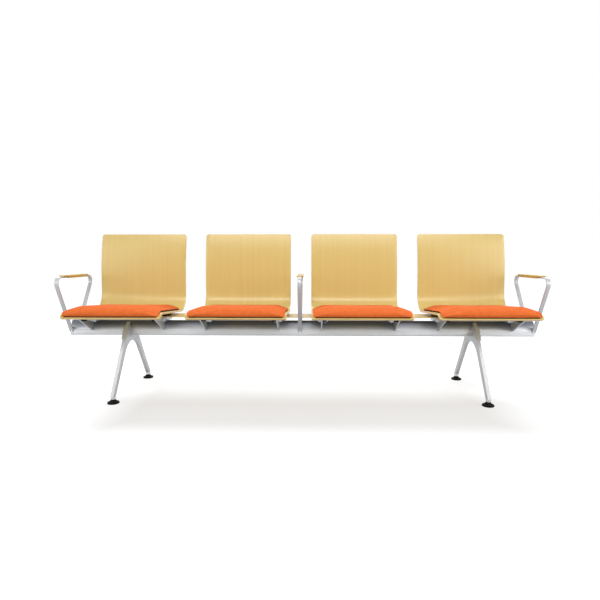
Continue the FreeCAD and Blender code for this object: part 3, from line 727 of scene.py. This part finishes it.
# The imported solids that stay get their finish
keptFinishes = {"fastener_steel": "steel", "mount_rubber": "rubber", "glide_plastic": "glide",
                "ball_plastic": "ball", "pad_base": "padBase"}
for entry in frame["record"]["subparts"]:
    node = frame["nodes"][entry["node"]]
    finish = keptFinishes.get(entry["material_slot"])
    if finish and not node.hide_render:
        node.data.materials.clear()
        node.data.materials.append(finishes[finish])
print("kept solids finished")


# Floor, light and camera

stageSizes = {
    "floor": 30.0,
    "floorTone": (0.42, 0.46, 0.50),
    "glowNear": (0.49, 0.445, 0.40),    # under the bench and before it, where the lamps light the floor too
    "glowFar": (0.92, 0.91, 0.90),
    "glowRanges": [("Y", 0.0, 0.7), ("Y", -0.48, -1.1), ("X", 0.85, 1.4), ("X", -0.75, -1.15)],
    "bounce": 0.40,
    "ambient": 0.26,
    "lamps": {
        "left": {"place": (-3.4, -3.0, 1.9), "aim": (0.0, 0.0, 0.5), "size": (2.4, 2.0), "power": 36.0},
        "right": {"place": (3.4, -3.0, 1.9), "aim": (0.0, 0.0, 0.5), "size": (2.4, 2.0), "power": 60.0},
        "high": {"place": (0.0, -2.6, 3.2), "aim": (0.0, 0.05, 0.6), "size": (4.2, 1.1), "power": 80.0},
        "behind": {"place": (0.0, 1.9, 3.0), "aim": (0.0, -0.2, 0.0), "size": (6.5, 1.0), "power": 112.0},
    },
}


def directlySeen(tree):
    # 1 where the camera, a reflection or glass looks at the surface
    path = addNode(tree, "ShaderNodeLightPath")
    return math2(tree, "MAXIMUM", path.outputs["Is Camera Ray"],
                 math2(tree, "MAXIMUM", path.outputs["Is Glossy Ray"], path.outputs["Is Transmission Ray"]))


def makeFloor():
    bpy.ops.mesh.primitive_plane_add(size=stageSizes["floor"], location=(0, 0, -0.0003))
    floor = bpy.context.object
    floor.name = "floor"
    material = bpy.data.materials.new("paleFloor")
    material.use_nodes = True
    tree = material.node_tree
    tree.nodes.clear()
    seen = addNode(tree, "ShaderNodeBsdfDiffuse", {"Color": (*stageSizes["floorTone"], 1)})
    away = objectAxes(tree)
    fade = 0.0
    for axis, near, far in stageSizes["glowRanges"]:
        reach = addNode(tree, "ShaderNodeMapRange",
                        {"Value": away.outputs[axis], "From Min": near, "From Max": far})
        fade = math2(tree, "MAXIMUM", fade, reach.outputs["Result"])
    glowColor = mixColors(tree, fade, stageSizes["glowNear"], stageSizes["glowFar"])
    glow = addNode(tree, "ShaderNodeEmission", {"Color": glowColor, "Strength": 1.0})
    shown = addNode(tree, "ShaderNodeAddShader")
    tree.links.new(seen.outputs[0], shown.inputs[0])
    tree.links.new(glow.outputs[0], shown.inputs[1])
    bounce = addNode(tree, "ShaderNodeBsdfDiffuse", {"Color": (*grey(stageSizes["bounce"]), 1)})
    direct = directlySeen(tree)
    mixed = addNode(tree, "ShaderNodeMixShader", {"Fac": direct})
    tree.links.new(bounce.outputs[0], mixed.inputs[1])
    tree.links.new(shown.outputs[0], mixed.inputs[2])
    output = addNode(tree, "ShaderNodeOutputMaterial")
    tree.links.new(mixed.outputs[0], output.inputs["Surface"])
    floor.data.materials.append(material)


def makeWorld():
    world = bpy.data.worlds.new("studio")
    bpy.context.scene.world = world
    world.use_nodes = True
    tree = world.node_tree
    tree.nodes.clear()
    direct = directlySeen(tree)
    level = addNode(tree, "ShaderNodeMapRange",
                    {"Value": direct, "To Min": stageSizes["ambient"], "To Max": 1.0})
    background = addNode(tree, "ShaderNodeBackground",
                         {"Color": (1, 1, 1, 1), "Strength": level.outputs["Result"]})
    output = addNode(tree, "ShaderNodeOutputWorld")
    tree.links.new(background.outputs[0], output.inputs["Surface"])


def makeLamp(name, place, aim, size, power):
    data = bpy.data.lights.new(name, "AREA")
    data.shape = "RECTANGLE"
    data.size, data.size_y = size
    data.energy = power
    lamp = bpy.data.objects.new(name, data)
    bpy.context.scene.collection.objects.link(lamp)
    lamp.location = place
    lamp.rotation_euler = (Vector(aim) - Vector(place)).to_track_quat("-Z", "Y").to_euler()


cameraSizes = {"place": (0.0555, -2.4097, 0.7036), "heading": 1.338, "pitch": 5.2406, "lens": 27.766}


def makeCamera():
    data = bpy.data.cameras.new("camera")
    data.sensor_width = 36.0
    data.lens = cameraSizes["lens"]
    camera = bpy.data.objects.new("camera", data)
    bpy.context.scene.collection.objects.link(camera)
    camera.location = cameraSizes["place"]
    camera.rotation_euler = (math.radians(90 - cameraSizes["pitch"]), 0, math.radians(cameraSizes["heading"]))
    bpy.context.scene.camera = camera


makeFloor()
makeWorld()
for name, lamp in stageSizes["lamps"].items():
    makeLamp(name, **lamp)
makeCamera()
bpy.context.scene.view_settings.view_transform = "Standard"
print("stage set")
